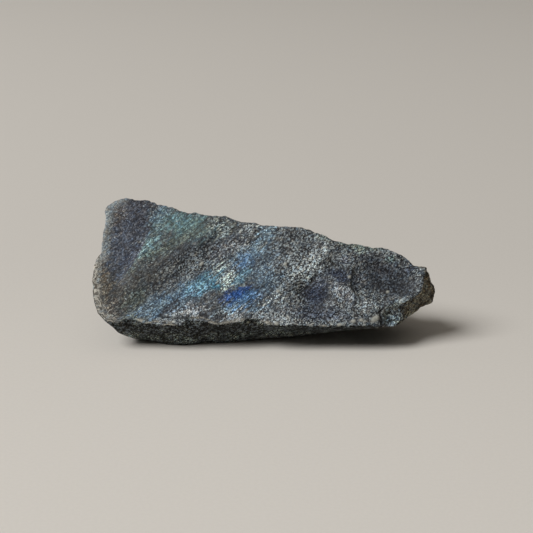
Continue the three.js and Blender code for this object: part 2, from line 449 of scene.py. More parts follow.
def cracks(x, s):
    """From 0 away from every drawn crack to its own strength along its middle."""
    depth = np.zeros(len(x))
    for line, strength in CRACKS:
        distance, along = beside(x, s, line)
        fades = smoothstep(0, 0.15, along) * smoothstep(1, 0.85, along)
        here = strength * fades * smoothstep(CRACK_WIDTH, 0, np.abs(distance))
        depth = np.maximum(depth, here)
    return depth


def pebbles(x, s):
    """From 0 to 1 on the large pale grains."""
    level = np.zeros(len(x))
    for _, middle, half_sizes, turn in PEBBLES:
        along, across = turned(x - middle[0], s - middle[1], math.radians(turn))
        distance = np.hypot(along / half_sizes[0], across / half_sizes[1])
        level = np.maximum(level, smoothstep(1.5, 0.6, distance))
    return level


def chips(points, ground, s):
    """How far small chips bite into the stone along the ground face's broken edge."""
    edge = smoothstep(0.02, 0.5, ground) * smoothstep(0.98, 0.5, ground)
    edge *= mixed(1.0, 0.25, smoothstep(4, 12, s))  # fewer along the crest
    distance, number = scattered(points, 2.2, seed=21)
    small = smoothstep(0.62, 0.3, distance) * smoothstep(0.35, 0.6, number)
    distance, number = scattered(points, 6.0, seed=22)
    large = smoothstep(0.5, 0.3, distance) * smoothstep(0.6, 0.8, number)
    return (0.25 * small + 0.5 * large) * edge


def pits(points):
    """Small worn pits: their depth in mm."""
    distance, number = scattered(points, 1.5, seed=31)
    return 0.16 * smoothstep(0.5, 0.15, distance) * smoothstep(0.45, 0.9, number)


def fine_relief(points, ground, undercut, from_rim):
    """How far the grain, steps, pits and chips raise each point, in mm."""
    x, s, _ = face_coordinates(points)
    polished = ground * smoothstep(*POLISHED_X, x)
    rough = mixed(0.1, 0.2, undercut) * smoothstep(-1, 5, from_rim)
    height = mixed(rough, mixed(0.07, 0.03, polished), ground) * lumps(points, 3.4, 3, seed=41)
    height += mixed(0.07, mixed(0.05, 0.015, polished), ground) * lumps(points, 1.1, 1, seed=51)
    height -= ground * (face_steps(x, s) + mixed(1.0, 0.25, polished) * pits(points))
    return height - chips(points, ground, s) * smoothstep(0, 5, from_rim)


def carve(surface):
    """Shapes the fine surface, and returns what its material has to know of each point."""
    surface.points = cut_flats(surface.softened(8))
    ground = ground_share(surface)
    smooth = surface.softened(16)
    surface.points = mixed(surface.points, smooth, mixed(0.3, 1.0, ground)[:, None])
    surface.points = fit_end(surface.points, LEFT_OUTLINE, -1)
    surface.points = fit_end(surface.points, RIGHT_OUTLINE, 1)
    broken = 1 - ground
    undercut = smoothstep(*UNDERCUT_Y, surface.points[:, 1]) * broken

    x, s, _ = face_coordinates(surface.points)
    from_rim = np.abs(beside(x, s, LEFT_OUTLINE)[0])
    ledges = LEDGE_SHARE * broken * (1 - undercut) * smoothstep(0, 6, from_rim)
    surface.points = cut_ledges(surface.points, ledges)
    points = surface.points
    x, s, _ = face_coordinates(points)
    front = smoothstep(*CRACK_FRONT, points[:, 1] - points[:, 2] * 0.8)
    crack = cracks(x, s) * front
    pebble = pebbles(x, s) * ground
    height = fine_relief(points, ground, undercut, from_rim)
    height += PEBBLE_HEIGHT * pebble - CRACK_DEPTH * crack
    surface.points = points + height[:, None] * surface.normals()
    surface.points[:, 2] = np.maximum(surface.points[:, 2], 0)
    return {
        "ground": ground,
        "crack": crack,
        "undercut": undercut * smoothstep(*UNDERCUT_END_X, x),
        "from_rim": from_rim,
        "pebble": pebble,
    }


def make_stone():
    piece = remeshed(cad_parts["stone"], "labradorite_chunk")
    surface = Surface(piece.data)
    shares = carve(surface)
    shares["edge"] = smoothstep(0.02, 0.22, surface.bulge(3))
    # Painted shade and dirt: how far the colour is darkened in small hollows
    shares["hollow_dirt_and_shade"] = smoothstep(-0.02, -0.22, surface.bulge(3))
    shares["crust"] = lip_crust(surface.points)
    place = shaken_place(surface.points)
    shares["worn"] = worn_share(place)
    shares["speckle"] = speckle_strength(surface.points, place)
    shares["mottle"] = mottle(surface.points)
    for name, values in shares.items():
        surface.store(name, values)
    surface.store_colours("face_colour", face_colours(surface.points, place))
    surface.write()
    piece.data.shade_smooth()
    piece.data.materials.append(labradorite())
    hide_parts("stone")
    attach(piece, "root")


# ---- The stone's colours ----

# Colours are given as they look on the lit stone, so they are divided by its light here.
LIGHT_ON_FACE = np.array((0.95, 0.91, 0.85))


def linear(colour):
    """A colour of the lit stone, each channel 0 to 255, as the shader needs it."""
    shares = np.array(colour) / 255
    curve = np.where(shares <= 0.04045, shares / 12.92, ((shares + 0.055) / 1.055) ** 2.4)
    return (*(curve / LIGHT_ON_FACE), 1.0)


PALETTE = {
    "violet": (68, 70, 78),
    "dusk": (62, 67, 77),
    "deep dusk": (60, 68, 84),
    "mid violet": (53, 55, 63),
    "brown": (60, 59, 56),
    "umber": (76, 72, 69),
    "tan": (88, 81, 70),
    "dark": (52, 54, 60),
    "slate": (50, 53, 57),
    # painted shade in the crevice beside the right end's chunk
    "crevice_shade": (40, 40, 34),
    "indigo": (36, 42, 56),
    "scoop": (42, 45, 50),
    "teal": (90, 113, 113),
    "pale teal": (106, 134, 136),
    "olive": (80, 88, 82),
    "olive grey": (94, 101, 94),
    "pale blue": (104, 124, 136),
    "steel": (82, 102, 117),
    "cyan": (84, 123, 140),
    "bright cyan": (88, 164, 190),
    "mid blue": (68, 106, 142),
    "electric": (8, 60, 118),
    "lavender": (88, 93, 108),
    "stone": (80, 84, 86),
    "pale": (112, 117, 118),
    "haze": (104, 106, 110),
    "cream": (126, 136, 132),
}

FACE_COLOUR = (78, 81, 83)  # between the patches
RIM_COLOUR = (138, 143, 142)  # along the left rim
RIM_WIDTH = 3.0  # mm

# Soft patches of colour on the ground face: colour, middle (x, s) and half
# sizes in mm, turn in degrees and strength. Later ones lie over earlier ones.
PATCHES = [
    # The upper left corner
    ("violet", (-40, 33.5), (9, 8), 0, 0.95),
    ("mid violet", (-37.5, 31.5), (4, 5.5), -10, 0.9),
    ("dusk", (-41, 23.5), (5, 11), -12, 0.95),
    ("umber", (-42.5, 34.5), (2.5, 4), 10, 0.85),
    ("pale", (-46, 32.5), (2, 4.5), -8, 0.9),
    ("umber", (-45, 29), (2, 4), 0, 0.8),
    ("pale", (-46, 25), (1, 3.5), -8, 0.6),
    ("pale", (-47.5, 20.5), (1.5, 3), 0, 0.6),
    ("deep dusk", (-38, 19.5), (2.5, 5), -35, 0.85),
    ("pale blue", (-32, 30.5), (2, 7), -28, 0.9),
    # The teal field and the olive band under it
    ("teal", (-23, 30), (9.5, 4.5), -14, 0.95),
    ("pale teal", (-24.5, 32.5), (3, 2), -14, 0.6),
    ("pale blue", (-28.5, 35), (2.5, 1.5), 0, 0.5),
    ("pale teal", (-33, 23.5), (5, 2.5), 52, 0.75),
    ("pale teal", (-34.5, 20), (2, 1.5), 40, 0.6),
    ("olive grey", (-12.5, 29.5), (4.5, 3), -15, 0.85),
    ("pale", (-12.5, 29), (3.5, 3), 0, 0.5),
    ("olive", (-26, 24), (13, 2), 30, 0.85),
    ("olive", (-39, 15.5), (4, 2), 42, 0.85),
    # The lower left
    ("brown", (-42, 8), (6.5, 6.5), 0, 0.9),
    ("olive", (-36.5, 7.5), (3.5, 5), -30, 0.6),
    ("dusk", (-41, 15.5), (2.5, 4.5), 0, 0.6),
    ("brown", (-31, 15.5), (8.5, 3.5), 20, 0.9),
    ("slate", (-23, 20.5), (8.5, 3.5), 27, 0.9),
    ("steel", (-16, 18.5), (3.5, 2), 30, 0.15),
    ("dark", (-13, 21), (2.5, 2.5), 0, 0.95),
    ("stone", (-25, 17), (2.5, 1), 20, 0.8),
    # The cyan streaks
    ("steel", (-25, 7.5), (15, 3.5), 28, 0.95),
    ("cyan", (-17, 12), (6, 2.5), 30, 0.88),
    ("bright cyan", (-14, 11), (1.5, 1), 40, 0.6),
    ("pale blue", (-31, 4.5), (3, 1), 22, 0.6),
    ("mid blue", (-36.5, 2.5), (1.5, 1), 20, 0.5),
    ("dark", (-26.5, 4.5), (2.5, 2), 20, 0.9),
    ("dark", (-33, 1.5), (2.5, 1), 0, 0.4),
    ("slate", (-25, 14.5), (5, 2), 28, 0.85),
    ("slate", (-12.5, 5.5), (2, 3.5), -35, 0.75),
    ("haze", (-20.5, 4), (4, 2), 8, 0.7),
    # Painted shade in the recess above the lip
    ("dark", (-16.5, 1.5), (2, 1), 0, 0.8),
    # The electric blue and its surroundings
    ("cyan", (-6, 14.5), (2.5, 2), 35, 0.6),
    ("mid blue", (-5.5, 7.5), (5.5, 2.5), 24, 0.8),
    ("electric", (-8, 8.5), (4.5, 1.5), 24, 0.97),
    ("mid blue", (-4, 8), (2.5, 2), 28, 0.35),
    ("pale blue", (-9, 4.5), (3.5, 1.5), 10, 0.75),
    ("haze", (-8.5, 2), (3.5, 1.5), 5, 0.6),
    ("steel", (-1.5, 4.5), (3.5, 2), 0, 0.8),
    ("cream", (-12.5, 16.5), (2, 2), 0, 0.85),
    ("cream", (-10, 12), (2.5, 2.5), -25, 0.95),
    # The middle
    ("dark", (-6.5, 28), (3, 1.5), 25, 0.35),
    ("pale", (-3, 28.5), (4.5, 2), -8, 0.45),
    ("haze", (-10, 24), (5.5, 2.5), 25, 0.45),
    ("steel", (-6.5, 20), (4.5, 2.5), 30, 0.6),
    ("pale blue", (1, 28), (3, 2.5), 35, 0.8),
    ("pale blue", (-1.5, 23), (3, 3), 45, 0.8),
    ("mid blue", (-5, 19), (4, 2), 40, 0.6),
    ("steel", (1, 18.5), (5, 3), 40, 0.4),
    ("steel", (2, 10.5), (4, 3), 0, 0.5),
    ("steel", (0.5, 13.5), (5, 3.5), 0, 0.6),
    ("stone", (9, 25), (6.5, 3.5), -8, 0.9),
    ("slate", (12.5, 24), (3, 2), 0, 0.6),
    ("slate", (4, 21), (2.5, 2), 0, 0.5),
    ("slate", (4, 11.5), (2.5, 2), 0, 0.35),
    ("slate", (-2.5, 10), (2.5, 1.5), 0, 0.75),
    ("stone", (8, 13), (3.5, 3.5), 0, 0.5),
    ("pale", (3.5, 7), (3, 2), 0, 0.95),
    ("haze", (6.5, 4.5), (4, 1.5), 0, 0.4),
    # The basin, the ridge and the right half's foot
    ("indigo", (22.5, 14.5), (4.5, 2.5), -20, 0.9),
    ("indigo", (15, 10), (4, 6), -10, 0.97),
    ("indigo", (12.5, 3), (3.5, 2), 0, 0.4),
    ("indigo", (17, 3), (7.5, 2.5), 0, 0.7),
    ("lavender", (22.5, 1.5), (6.5, 1), 0, 0.2),
    ("lavender", (24, 19.5), (1.5, 1), 0, 0.5),
    ("pale", (11.5, 14.5), (4, 2.5), -30, 0.75),
    ("pale", (14.5, 17.5), (4, 3), 20, 0.6),
    ("haze", (23, 9), (5, 2), -52, 0.6),
    ("pale", (18.5, 22.5), (1, 2), -20, 0.7),
    # The scoop and the right end
    ("scoop", (36.5, 13.5), (10, 5), -8, 0.97),
    ("scoop", (39, 10), (5, 2.5), 0, 0.8),
    # Painted light: lightens the scoop's left side, which its step shades
    ("haze", (28.5, 13.5), (1.5, 2.5), 0, 0.5),
    ("dark", (35, 17.5), (6, 3), -12, 0.6),
    ("dark", (28.5, 20.5), (2, 1.5), 0, 0.7),
    ("indigo", (42, 16.5), (1.5, 1.5), -30, 0.7),
    ("teal", (37, 20), (1.5, 1), 0, 0.5),
    ("olive", (29, 23.5), (7.5, 1.5), -8, 0.8),
    ("olive grey", (28, 22), (2, 1), -5, 0.5),
    ("olive grey", (40.5, 6), (4.5, 1), 15, 0.6),
    ("pale", (41.5, 5.5), (3, 2.5), 0, 0.95),
    # Painted shade in the crevice beside the chunk
    ("crevice_shade", (35, 2.5), (1.5, 2.5), 0, 0.95),
    ("crevice_shade", (36.5, 4.5), (2.5, 1), 5, 0.5),
    ("pale blue", (37.5, 1), (2, 2), 0, 0.6),
    ("cream", (39.5, 1.5), (0.5, 2.5), -28, 0.8),
    ("pale", (31, 5), (3.5, 1.5), -3, 0.75),
    ("pale", (45.5, 16), (1.5, 1.5), -30, 0.8),
    ("olive grey", (17.5, 26), (2.5, 1.5), -25, 0.6),
    # The left rim
    ("tan", (-47, 11), (2.5, 8), 0, 0.85),
    ("tan", (-44, 3), (3, 2.5), -40, 0.85),
    ("olive grey", (-36, 1.5), (4.5, 1), -10, 0.8),
    ("umber", (-43, 4), (3, 2.5), 0, 0.7),
    ("olive grey", (-37.5, 1), (2, 1.5), 0, 0.7),
]

# Where the face is worn to pale grains, in the same form but named by place
WORN = [
    ("low left", (-21.5, 3.5), (5.5, 2.5), 8, 0.9),
    ("cream upper", (-12.5, 16.5), (2.5, 2.5), 0, 0.85),
    ("cream lower", (-10, 13), (2.5, 4), -25, 0.85),
    ("top left", (-12, 29), (4, 2.5), -15, 0.7),
    ("top middle", (-3, 29), (4.5, 2), -8, 0.6),
    ("pale knot", (-25, 17), (2, 1), 20, 0.6),
    ("dark band", (-23, 18.5), (7.5, 3), 27, 0.42),
    ("under the top", (-7.5, 23.5), (6.5, 3), 20, 0.5),
    ("band left", (9.5, 16), (4.5, 3), -20, 0.66),
    ("band core", (14.5, 17), (3, 3.5), 20, 0.85),
    ("band top", (18.5, 22.5), (1.5, 2.5), -20, 0.85),
    ("band foot", (11, 13.5), (3, 2), -30, 0.85),
    ("ridge", (22.5, 10), (6, 2.5), -52, 0.5),
    ("cream right", (29.5, 5.5), (4, 1.5), -3, 0.85),
    ("cream spot", (3.5, 7), (3, 2), 0, 0.92),
    ("lip middle", (2, 1.5), (7.5, 2), -4, 0.85),
    ("lip blue", (-9, 3), (5, 2.5), 0, 0.9),
    ("lip right", (22, 0), (9.5, 1), -2, 0.45),
    ("lip bend", (5.5, 0), (4, 2), 0, 0.95),
    ("ledge", (-27.5, 0.5), (5.5, 1), -4, 1),
    ("left rim", (-48.5, 12), (1.5, 8.5), 0, 0.4),
    ("left corner", (-44, 2.5), (3, 2.5), -45, 0.55),
    ("end rim", (45.5, 16.5), (2.5, 1), -35, 0.6),
    ("end foot", (39.5, 5.5), (5.5, 1), 14, 0.5),
    ("top right", (36.5, 21), (5, 2), -8, 0.75),
    ("basin top", (18.5, 19), (3.5, 3), 0, 0.65),
    ("end sliver", (39.5, 1.5), (1, 2.5), -28, 0.9),
    ("end chunk", (37.5, 1), (1.5, 1.5), 0, 0.55),
]

# Where the speckle's strength changes, and by how much, in the same form
SPECKLE = [
    ("teal field", (-23, 30), (10, 5), -14, -0.3),
    ("dark band", (-20.5, 18), (10, 4), 27, 0.95),
    ("middle", (10, 16), (9, 7.5), 0, 0.4),
    ("basin", (16, 7.5), (5, 5), 0, -0.2),
    ("lip", (14, 2), (14, 3), 0, 0.4),
    ("scoop", (36.5, 13), (10, 5), -8, -0.15),
]
SPECKLE_DRIFT = 0.2  # how far the speckle's strength wanders from place to place
MOTTLE = 0.52  # doublings of brightness, the height of the soft lumps

PATCH_EDGE = (0.35, 1.35)  # a patch fades out between these shares of its half sizes
SHAKE = 3.0  # mm, how far the patches' outlines waver
STRAY = 1.3  # mm, how far a grain's colour strays from its place
STREAK_TURN = math.radians(42)  # the turn of the grains and fine streaks on the face
STROKE_SIZE = (6.0, 0.8, 3.0)  # mm, a stroke of colour along and across the streaks
STROKE = (4.0, 0.8)  # mm, how far a stroke is drawn along and across them
STROKE_X = (16, 4)  # strokes begin and are full at these
PART = 2.0  # mm, how far the colours on the two sides of the crease are drawn apart
PART_REACH = 4.0  # mm


def patch_share(place, middle, half_sizes, turn):
    """From 0 outside an elliptical patch on the face to 1 in its middle."""
    along, across = turned(place[0] - middle[0], place[1] - middle[1], math.radians(turn))
    inner, outer = PATCH_EDGE
    return smoothstep(outer, inner, np.hypot(along / half_sizes[0], across / half_sizes[1]))


def shaken_place(points):
    """Places on the face, with the patches' ragged outlines worked in."""
    x, s, out = face_coordinates(points)
    from_crease = beside(x, s, CREASE)[0]
    x = x + PART * np.sign(from_crease) * smoothstep(PART_REACH, 0, np.abs(from_crease))
    turned_x, turned_s = turned(x, s, STREAK_TURN)
    strokes = np.column_stack((turned_x, turned_s, out)) / STROKE_SIZE
    along = STROKE[0] * perlin(strokes, seed=111) * smoothstep(*STROKE_X, x)
    across = STROKE[1] * perlin(strokes, seed=121) * smoothstep(*STROKE_X, x)
    drawn_x, drawn_s = turned(along, across, -STREAK_TURN)
    x, s = x + drawn_x, s + drawn_s
    x = x + SHAKE * 0.25 * lumps(points, 5.0, 3, seed=81)
    s = s + SHAKE * 0.25 * lumps(points, 5.0, 3, seed=91)
    x = x + STRAY * (scattered(points, 0.5, seed=101)[1] - 0.5)
    s = s + STRAY * (scattered(points, 0.5, seed=102)[1] - 0.5)
    return x, s


def patch_strengths(place, patches):
    """How strong each patch is at each place, one row to a patch."""
    return [
        strength * patch_share(place, middle, half_sizes, turn)
        for _, middle, half_sizes, turn, strength in patches
    ]


def face_colours(points, place):
    """The ground face's own colour at each point."""
    colours = np.tile(linear(FACE_COLOUR), (len(points), 1))
    for patch, share in zip(PATCHES, patch_strengths(place, PATCHES)):
        colours = mixed(colours, np.array(linear(PALETTE[patch[0]])), share[:, None])
    x, s, _ = face_coordinates(points)
    rim = smoothstep(RIM_WIDTH, 0.3, np.abs(beside(x, s, LEFT_OUTLINE)[0]))
    return mixed(colours, np.array(linear(RIM_COLOUR)), 0.8 * rim[:, None])


def worn_share(place):
    """From 0 where the face is ground to 1 where it is worn to pale grains."""
    return np.max(patch_strengths(place, WORN), axis=0)


def speckle_strength(points, place):
    """How strong the speckle is: 1 over most of the stone."""
    changes = np.sum(patch_strengths(place, SPECKLE), axis=0)
    return 1 + changes + SPECKLE_DRIFT * lumps(points, 6.0, 2, seed=151)


def mottle(points):
    """Soft lighter and darker lumps, in doublings, which fade out towards the left end."""
    return MOTTLE * lumps(points, 3.0, 2, seed=141) * smoothstep(-36, -20, points[:, 0])


# ---- The stone's material ----

PALE_GRAIN = (166, 171, 171)
# The colour of the painted glints, where single grains sparkle
PEBBLE = (172, 170, 158)
GLINT_COLOUR = (176, 184, 186)
BROKEN_DARK = (64, 64, 61)
BROKEN_MIDDLE = (90, 89, 85)
BROKEN_LIGHT = (120, 118, 110)
BROKEN_FLECK = (112, 118, 120)
UNDERCUT_DARK = (19, 19, 16)
UNDERCUT_LIGHT = (50, 51, 49)
LIP_CRUST_DARK = (92, 86, 74)
LIP_CRUST = (206, 199, 180)
LEFT_END_DARK = (74, 66, 54)
LEFT_END_LIGHT = (196, 189, 174)
RIGHT_END_DARK = (66, 58, 45)
RIGHT_END_LIGHT = (114, 107, 90)
# Painted shade in the cracks, and painted shade and dirt in small hollows
CRACK_SHADE_COLOUR = (24, 25, 26)

# Where a change along the stone begins and is full, as x in mm
LEFT_END_X = (-43.0, -47.5)
RIGHT_END_X = (37.0, 43.0)
RIGHT_TIP_X = (40.0, 46.0)
SCOOP_X = (25.0, 29.0)
COARSE_X = (-4.0, 14.0)  # the speckle grows coarser from left to right
STREAKED_X = (12.0, -6.0)  # and the streaks stronger from right to left

# Sizes in mm. Grains, fine streaks and flakes are given along their length and across it.
GRAIN_SIZE = (0.38, 0.3, 0.3)
STREAK_SIZE = (5.0, 0.26, 0.5)
SCOOP_STREAK_TURN = math.radians(-32)
SPARK_SPACING = 1.4
FLAKE_SIZE = (1.8, 0.55)

# In doublings of brightness, from the darkest to the lightest
GRAIN_CONTRAST = 4.1
FINE_CONTRAST = 4.5
STREAK_CONTRAST = 4.8
WARMTH_CONTRAST = 1.2
LIGHT_TINT = (0.98, 1.01, 0.97)  # how much each channel takes of a change in brightness
LIGHT_LIMIT = 2.5  # no grain is more doublings brighter than this

# The speckle's strength on the broken sides and at the right tip, and what the undercut adds
BROKEN_CONTRAST = (1.1, 0.7)
UNDERCUT_CONTRAST = 0.9
# Painted shade and painted light on the broken sides, in doublings: how much lighter or darker
# their parts are. The undercut is painted darker up under the lip, lighter at its left end and
# darker at its right, and the right end darker low down.
UNDERCUT_PAINTED_SHADE = (0.3, -1.5)  # at the undercut's foot and at its top, under the lip
UNDERCUT_LEFT_PAINTED_LIGHT = 1.1
UNDERCUT_RIGHT_PAINTED_SHADE = -1.3
RIGHT_END_PAINTED_SHADE = -0.55  # low on the right end

PALE_COVER = 0.9  # how far a pale grain covers the colour under it


class Nodes:
    """Short ways to add shader nodes to a material."""

    def __init__(self, material):
        material.use_nodes = True
        self.tree = material.node_tree
        self.tree.nodes.clear()

    def add(self, kind, inputs=(), **settings):
        node = self.tree.nodes.new("ShaderNode" + kind)
        for name, value in settings.items():
            setattr(node, name, value)
        for name, value in dict(inputs).items():
            self.put(node.inputs[name], value)
        return node

    def put(self, socket, value):
        if isinstance(value, bpy.types.NodeSocket):
            self.tree.links.new(value, socket)
        else:
            socket.default_value = value

    def maths(self, operation, *values, clamp=False):
        node = self.add("Math", enumerate(values), operation=operation, use_clamp=clamp)
        return node.outputs[0]

    def vector(self, operation, *values):
        node = self.add("VectorMath", enumerate(values), operation=operation)
        return node.outputs["Value" if operation == "DOT_PRODUCT" else "Vector"]

    def mix(self, share, a, b, blend="MIX"):
        node = self.add("Mix", data_type="RGBA", blend_type=blend)
        self.put(node.inputs[0], share)
        self.put(node.inputs[6], a)
        self.put(node.inputs[7], b)
        return node.outputs[2]

    def spread(self, value, low, high, to_low=0.0, to_high=1.0):
        """A smooth step from to_low at low to to_high at high."""
        inputs = {
            "Value": value,
            "From Min": low,
            "From Max": high,
            "To Min": to_low,
            "To Max": to_high,
        }
        return self.add("MapRange", inputs, interpolation_type="SMOOTHSTEP").outputs[0]

    def noises(self, place, size, detail):
        inputs = {"Vector": place, "Scale": 1 / size, "Detail": detail}
        return self.add("TexNoise", inputs).outputs

    def noise(self, place, size, detail):
        """Noise of 0 to 1, whose largest lumps are size mm across."""
        return self.noises(place, size, detail)["Fac"]

    def centred_noise(self, place, size, detail):
        """Three noises of about -0.5 to 0.5, as a vector."""
        return self.vector("SUBTRACT", self.noises(place, size, detail)["Color"], (0.5,) * 3)

    def swing(self, value, contrast, level=0.0):
        """A value of 0 to 1 made to swing about a level, by half the contrast each way."""
        return self.maths("MULTIPLY_ADD", self.maths("SUBTRACT", value, 0.5), contrast, level)

    def attribute(self, name):
        return self.add("Attribute", attribute_name=name).outputs["Fac"]

    def turned(self, place, sizes, turn):
        """A place turned on the face and measured in sizes."""
        inputs = {"Vector": place, "Rotation": (0, 0, turn), "Scale": sizes}
        return self.add("Mapping", inputs, vector_type="TEXTURE").outputs[0]


def lit(n, colour, light, warmth):
    """A colour made brighter or darker, and warmer or cooler, by doublings."""
    channels = []
    for tint, warm in zip(LIGHT_TINT, (1.0, 0.0, -1.0)):
        doublings = n.maths("MULTIPLY_ADD", light, tint, n.maths("MULTIPLY", warmth, warm))
        channels.append(n.maths("POWER", 2.0, doublings))
    factor = n.add("CombineXYZ", enumerate(channels)).outputs[0]
    return n.mix(1.0, colour, factor, "MULTIPLY")


class Place:
    """Node sockets that tell where on the stone the shader is: places in mm, and the
    undercut's share."""

    def __init__(self, n):
        metres = n.add("TexCoord").outputs["Object"]
        self.solid = n.vector("MULTIPLY", metres, (1 / MM,) * 3)
        from_foot = n.vector("SUBTRACT", self.solid, tuple(FACE_FOOT))
        self.x, _, self.z = n.add("SeparateXYZ", {0: self.solid}).outputs
        self.s = n.vector("DOT_PRODUCT", from_foot, tuple(SLOPE))
        self.out = n.vector("DOT_PRODUCT", from_foot, tuple(OUTWARD))
        self.face = n.add("CombineXYZ", {0: self.x, 1: self.s, 2: self.out}).outputs[0]
        self.from_rim = n.attribute("from_rim")
        self.undercut = n.attribute("undercut")


class Grains:
    """Node sockets for the stone's grains, and for how they lighten and tint it."""

    def __init__(self, n, at):
        self.n = n
        self.at = at
        self.numbers = self.random_numbers()
        self.fine = n.noise(at.face, 0.3, 2.0)
        self.worn = n.attribute("worn")
        self.light = self.brightness()
        warm = n.noise(n.turned(at.face, GRAIN_SIZE, STREAK_TURN), 3.0, 4.0)
        self.warmth = n.swing(warm, WARMTH_CONTRAST)
        self.glint = self.painted_glints()

    def random_numbers(self):
        """Random numbers for each grain, which is drawn out along the streaks."""
        n = self.n
        ragged = n.vector("MULTIPLY", n.centred_noise(self.at.face, 0.5, 2.0), (0.3,) * 3)
        place = n.turned(n.vector("ADD", self.at.face, ragged), GRAIN_SIZE, STREAK_TURN)
        cells = n.add("TexVoronoi", {"Vector": place, "Scale": 1.0})
        return n.add("SeparateColor", {"Color": cells.outputs["Color"]}).outputs

    def streaks(self):
        """Fine streaks, which turn another way in the scoop."""
        n, face = self.n, self.at.face
        most = n.noise(n.turned(face, STREAK_SIZE, STREAK_TURN), 1.0, 2.0)
        scoop = n.noise(n.turned(face, STREAK_SIZE, SCOOP_STREAK_TURN), 1.0, 2.0)
        in_scoop = n.spread(self.at.x, *SCOOP_X)
        return n.add("Mix", {0: in_scoop, 2: most, 3: scoop}).outputs[0]

    def brightness(self):
        """Doublings of brightness: each grain's own, what varies inside it, the fine
        streaks, and the soft mottling."""
        n, x = self.n, self.at.x
        streakiness = n.spread(x, *STREAKED_X, 0.4 * STREAK_CONTRAST, STREAK_CONTRAST)
        light = n.swing(self.numbers[0], GRAIN_CONTRAST)
        light = n.swing(self.fine, FINE_CONTRAST, light)
        light = n.swing(self.streaks(), streakiness, light)
        coarse = n.maths("MAXIMUM", self.worn, n.spread(x, *COARSE_X, 0.0, 0.45))
        light = n.maths("MULTIPLY", light, n.maths("ADD", coarse, 0.8))
        near_rim = n.spread(self.at.from_rim, 0.0, 4.0, 0.5)
        strength = n.maths("MULTIPLY", n.attribute("speckle"), near_rim)
        light = n.maths("MULTIPLY_ADD", light, strength, n.attribute("mottle"))
        return n.maths("SMOOTH_MIN", light, LIGHT_LIMIT, 0.8)

    def painted_glints(self):
        """Painted glints: from 0 to 1 on small bright grains that stand for sparkle, a few of
        those at a wider spacing.
        """
        n = self.n
        specks = n.add("TexVoronoi", {"Vector": self.at.face, "Scale": 1 / SPARK_SPACING})
        number = n.add("SeparateColor", {"Color": specks.outputs["Color"]}).outputs[0]
        chosen = n.spread(number, 0.8, 0.82)
        return n.maths("MULTIPLY", n.spread(specks.outputs["Distance"], 0.2, 0.1), chosen)


def ground_colour(n, at, grains):
    """The ground face's soft patches, speckled, with pale grains where it is worn, and painted
    glints.
    """
    colour = n.add("Attribute", attribute_name="face_colour").outputs["Color"]
    colour = lit(n, colour, grains.light, grains.warmth)
    greyer = {"Saturation": n.spread(grains.light, 0.0, 2.0, 1.0, 0.85), "Color": colour}
    colour = n.add("HueSaturation", greyer).outputs[0]

    # Pale grains gather in lacy clumps
    lace = n.maths("ABSOLUTE", n.maths("SUBTRACT", n.noise(at.face, 1.6, 3.0), 0.5))
    number = n.maths("MULTIPLY_ADD", lace, -2.2, n.maths("MULTIPLY", grains.numbers[1], 0.5))
    number = n.maths("MULTIPLY_ADD", grains.fine, 1.3, number)
    pale_from = n.maths("MULTIPLY_ADD", grains.worn, -0.82, 1.3)
    pale = n.spread(number, pale_from, n.maths("ADD", pale_from, 0.45))
    brighter = n.mix(1.0, colour, (2.0, 2.0, 2.0, 1), "MULTIPLY")
    pale_colour = n.mix(0.5, linear(PALE_GRAIN), brighter)
    colour = n.mix(n.maths("MULTIPLY", pale, PALE_COVER), colour, pale_colour)

    glint = n.maths("MULTIPLY", grains.glint, PALE_COVER)
    pebble = n.maths("MULTIPLY", n.attribute("pebble"), PALE_COVER)
    return n.mix(pebble, n.mix(glint, colour, linear(GLINT_COLOUR)), linear(PEBBLE))


def rim_flakes(n, at):
    """The flaky layers of tan and cream round the left rim: their colour, and their share
    of the ground face."""
    from_rim = n.swing(n.noise(at.face, 2.2, 3.0), 5.0, at.from_rim)
    along, across = FLAKE_SIZE
    layers = {0: n.maths("DIVIDE", from_rim, across), 1: n.maths("DIVIDE", at.s, along)}
    layers = n.noise(n.add("CombineXYZ", layers).outputs[0], 1.0, 2.0)
    colour = n.mix(n.spread(layers, 0.42, 0.6), linear(LEFT_END_DARK), linear(LEFT_END_LIGHT))
    low = n.spread(at.s, 22.0, 17.0, 0.0, 0.85)
    return colour, n.maths("MULTIPLY", n.spread(from_rim, 2.4, 0.8), low)


def broken_painted_light_and_shade(n, at, right):
    """Painted shade and painted light: how much lighter or darker the broken sides' shaded
    parts are, in doublings.
    """
    left = n.spread(at.x, -31.0, -37.0, 0.0, UNDERCUT_LEFT_PAINTED_LIGHT)
    along = n.maths("ADD", left, n.spread(at.x, 0.0, 10.0, 0.0, UNDERCUT_RIGHT_PAINTED_SHADE))
    shade = n.maths("ADD", n.spread(at.z, 2.5, 7.0, *UNDERCUT_PAINTED_SHADE), along)
    low_end = n.maths("MULTIPLY", right, n.spread(at.z, 17.0, 12.0, 0.0, RIGHT_END_PAINTED_SHADE))
    return n.maths("MULTIPLY_ADD", shade, at.undercut, low_end)


